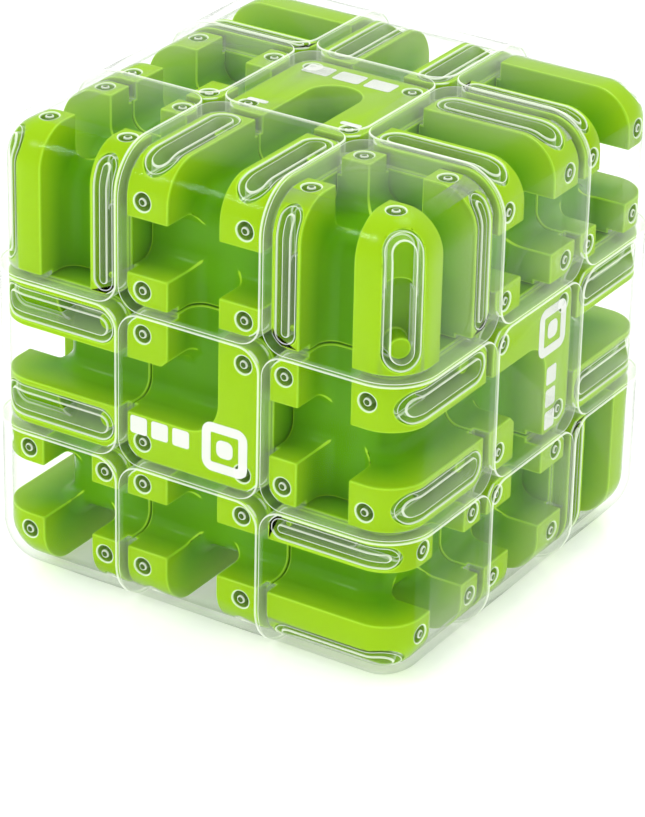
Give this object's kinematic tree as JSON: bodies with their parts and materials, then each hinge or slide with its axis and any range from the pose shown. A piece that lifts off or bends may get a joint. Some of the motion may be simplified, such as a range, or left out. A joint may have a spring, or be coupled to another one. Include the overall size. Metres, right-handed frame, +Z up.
{
  "type": "3d maze ball puzzle",
  "caption": "Turning cube puzzle of lime green maze blocks under clear covers; each face turns on a sprung core and a steel ball rolls in the lanes.",
  "frame": {"origin": "centre of the cube, which is the centre of the core's middle ball", "axes": "+Z up through the top face, -Y out of the front face, +X out of the right face; the cube stands on its bottom face"},
  "size_m": [0.068, 0.068, 0.068],
  "materials": {
    "lime_plastic": "glossy moulded",
    "clear_plastic": "clear polished",
    "core_plastic": "moulded",
    "steel": "plated",
    "ball_steel": "polished"
  },
  "bodies": {
    "core": {"core": "core_plastic", "centre_screws": "steel", "centre_springs": "steel"},
    "top_front_right": {"track_top_front_right": "lime_plastic", "cover_top_front_right": "clear_plastic"},
    "top_front_left": {"track_top_front_left": "lime_plastic", "cover_top_front_left": "clear_plastic"},
    "top_back_right": {"track_top_back_right": "lime_plastic", "cover_top_back_right": "clear_plastic"},
    "top_back_left": {"track_top_back_left": "lime_plastic", "cover_top_back_left": "clear_plastic"},
    "bottom_front_right": {"track_bottom_front_right": "lime_plastic", "cover_bottom_front_right": "clear_plastic"},
    "bottom_front_left": {"track_bottom_front_left": "lime_plastic", "cover_bottom_front_left": "clear_plastic"},
    "bottom_back_right": {"track_bottom_back_right": "lime_plastic", "cover_bottom_back_right": "clear_plastic"},
    "bottom_back_left": {"track_bottom_back_left": "lime_plastic", "cover_bottom_back_left": "clear_plastic"},
    "top_front": {"track_top_front": "lime_plastic", "cover_top_front": "clear_plastic"},
    "top_right": {"track_top_right": "lime_plastic", "cover_top_right": "clear_plastic"},
    "top_left": {"track_top_left": "lime_plastic", "cover_top_left": "clear_plastic"},
    "top_back": {"track_top_back": "lime_plastic", "cover_top_back": "clear_plastic"},
    "front_right": {"track_front_right": "lime_plastic", "cover_front_right": "clear_plastic"},
    "front_left": {"track_front_left": "lime_plastic", "cover_front_left": "clear_plastic"},
    "back_right": {"track_back_right": "lime_plastic", "cover_back_right": "clear_plastic"},
    "back_left": {"track_back_left": "lime_plastic", "cover_back_left": "clear_plastic"},
    "bottom_front": {"track_bottom_front": "lime_plastic", "cover_bottom_front": "clear_plastic"},
    "bottom_right": {"track_bottom_right": "lime_plastic", "cover_bottom_right": "clear_plastic"},
    "bottom_left": {"track_bottom_left": "lime_plastic", "cover_bottom_left": "clear_plastic"},
    "bottom_back": {"track_bottom_back": "lime_plastic", "cover_bottom_back": "clear_plastic"},
    "top_centre": {"track_top_centre": "lime_plastic", "cover_top_centre": "clear_plastic"},
    "bottom_centre": {"track_bottom_centre": "lime_plastic", "cover_bottom_centre": "clear_plastic"},
    "front_centre": {"track_front_centre": "lime_plastic", "cover_front_centre": "clear_plastic"},
    "right_centre": {"track_right_centre": "lime_plastic", "cover_right_centre": "clear_plastic"},
    "back_centre": {"track_back_centre": "lime_plastic", "cover_back_centre": "clear_plastic"},
    "left_centre": {"track_left_centre": "lime_plastic", "cover_left_centre": "clear_plastic"},
    "ball": {"steel_ball": "ball_steel"}
  },
  "joints": [
    {"name": "top_turn", "type": "hinge", "parent": "core", "child": "top_centre", "pos_m": [0, 0, 0], "axis": [0, 0, 1], "continuous": true},
    {"name": "bottom_turn", "type": "hinge", "parent": "core", "child": "bottom_centre", "pos_m": [0, 0, 0], "axis": [0, 0, 1], "continuous": true},
    {"name": "front_turn", "type": "hinge", "parent": "core", "child": "front_centre", "pos_m": [0, 0, 0], "axis": [0, 1, 0], "continuous": true},
    {"name": "back_turn", "type": "hinge", "parent": "core", "child": "back_centre", "pos_m": [0, 0, 0], "axis": [0, 1, 0], "continuous": true},
    {"name": "left_turn", "type": "hinge", "parent": "core", "child": "left_centre", "pos_m": [0, 0, 0], "axis": [1, 0, 0], "continuous": true},
    {"name": "right_turn", "type": "hinge", "parent": "core", "child": "right_centre", "pos_m": [0, 0, 0], "axis": [1, 0, 0], "continuous": true},
    {"name": "top_turn_at_top_front", "type": "hinge", "parent": "front_centre", "child": "top_front", "pos_m": [0, 0, 0], "axis": [0, 0, 1], "continuous": true},
    {"name": "right_turn_at_top_right", "type": "hinge", "parent": "top_centre", "child": "top_right", "pos_m": [0, 0, 0], "axis": [1, 0, 0], "continuous": true},
    {"name": "left_turn_at_top_left", "type": "hinge", "parent": "top_centre", "child": "top_left", "pos_m": [0, 0, 0], "axis": [1, 0, 0], "continuous": true},
    {"name": "top_turn_at_top_back", "type": "hinge", "parent": "back_centre", "child": "top_back", "pos_m": [0, 0, 0], "axis": [0, 0, 1], "continuous": true},
    {"name": "front_turn_at_front_right", "type": "hinge", "parent": "right_centre", "child": "front_right", "pos_m": [0, 0, 0], "axis": [0, 1, 0], "continuous": true},
    {"name": "front_turn_at_front_left", "type": "hinge", "parent": "left_centre", "child": "front_left", "pos_m": [0, 0, 0], "axis": [0, 1, 0], "continuous": true},
    {"name": "back_turn_at_back_right", "type": "hinge", "parent": "right_centre", "child": "back_right", "pos_m": [0, 0, 0], "axis": [0, 1, 0], "continuous": true},
    {"name": "back_turn_at_back_left", "type": "hinge", "parent": "left_centre", "child": "back_left", "pos_m": [0, 0, 0], "axis": [0, 1, 0], "continuous": true},
    {"name": "bottom_turn_at_bottom_front", "type": "hinge", "parent": "front_centre", "child": "bottom_front", "pos_m": [0, 0, 0], "axis": [0, 0, 1], "continuous": true},
    {"name": "right_turn_at_bottom_right", "type": "hinge", "parent": "bottom_centre", "child": "bottom_right", "pos_m": [0, 0, 0], "axis": [1, 0, 0], "continuous": true},
    {"name": "left_turn_at_bottom_left", "type": "hinge", "parent": "bottom_centre", "child": "bottom_left", "pos_m": [0, 0, 0], "axis": [1, 0, 0], "continuous": true},
    {"name": "bottom_turn_at_bottom_back", "type": "hinge", "parent": "back_centre", "child": "bottom_back", "pos_m": [0, 0, 0], "axis": [0, 0, 1], "continuous": true},
    {"name": "right_turn_at_top_front_right", "type": "hinge", "parent": "top_front", "child": "top_front_right", "pos_m": [0, 0, 0], "axis": [1, 0, 0], "continuous": true},
    {"name": "left_turn_at_top_front_left", "type": "hinge", "parent": "top_front", "child": "top_front_left", "pos_m": [0, 0, 0], "axis": [1, 0, 0], "continuous": true},
    {"name": "right_turn_at_top_back_right", "type": "hinge", "parent": "top_back", "child": "top_back_right", "pos_m": [0, 0, 0], "axis": [1, 0, 0], "continuous": true},
    {"name": "left_turn_at_top_back_left", "type": "hinge", "parent": "top_back", "child": "top_back_left", "pos_m": [0, 0, 0], "axis": [1, 0, 0], "continuous": true},
    {"name": "right_turn_at_bottom_front_right", "type": "hinge", "parent": "bottom_front", "child": "bottom_front_right", "pos_m": [0, 0, 0], "axis": [1, 0, 0], "continuous": true},
    {"name": "left_turn_at_bottom_front_left", "type": "hinge", "parent": "bottom_front", "child": "bottom_front_left", "pos_m": [0, 0, 0], "axis": [1, 0, 0], "continuous": true},
    {"name": "right_turn_at_bottom_back_right", "type": "hinge", "parent": "bottom_back", "child": "bottom_back_right", "pos_m": [0, 0, 0], "axis": [1, 0, 0], "continuous": true},
    {"name": "left_turn_at_bottom_back_left", "type": "hinge", "parent": "bottom_back", "child": "bottom_back_left", "pos_m": [0, 0, 0], "axis": [1, 0, 0], "continuous": true},
    {"name": "ball_roll", "type": "slide", "parent": "bottom_centre", "child": "ball", "axis": [0, 1, 0], "range_m": [0, 0.008]}
  ],
  "couplings": [
    {"joint": "top_turn_at_top_front", "follows": "top_turn", "ratio": 1},
    {"joint": "right_turn_at_top_right", "follows": "right_turn", "ratio": 1},
    {"joint": "left_turn_at_top_left", "follows": "left_turn", "ratio": 1},
    {"joint": "top_turn_at_top_back", "follows": "top_turn", "ratio": 1},
    {"joint": "front_turn_at_front_right", "follows": "front_turn", "ratio": 1},
    {"joint": "front_turn_at_front_left", "follows": "front_turn", "ratio": 1},
    {"joint": "back_turn_at_back_right", "follows": "back_turn", "ratio": 1},
    {"joint": "back_turn_at_back_left", "follows": "back_turn", "ratio": 1},
    {"joint": "bottom_turn_at_bottom_front", "follows": "bottom_turn", "ratio": 1},
    {"joint": "right_turn_at_bottom_right", "follows": "right_turn", "ratio": 1},
    {"joint": "left_turn_at_bottom_left", "follows": "left_turn", "ratio": 1},
    {"joint": "bottom_turn_at_bottom_back", "follows": "bottom_turn", "ratio": 1},
    {"joint": "right_turn_at_top_front_right", "follows": "right_turn", "ratio": 1},
    {"joint": "left_turn_at_top_front_left", "follows": "left_turn", "ratio": 1},
    {"joint": "right_turn_at_top_back_right", "follows": "right_turn", "ratio": 1},
    {"joint": "left_turn_at_top_back_left", "follows": "left_turn", "ratio": 1},
    {"joint": "right_turn_at_bottom_front_right", "follows": "right_turn", "ratio": 1},
    {"joint": "left_turn_at_bottom_front_left", "follows": "left_turn", "ratio": 1},
    {"joint": "right_turn_at_bottom_back_right", "follows": "right_turn", "ratio": 1},
    {"joint": "left_turn_at_bottom_back_left", "follows": "left_turn", "ratio": 1}
  ]
}
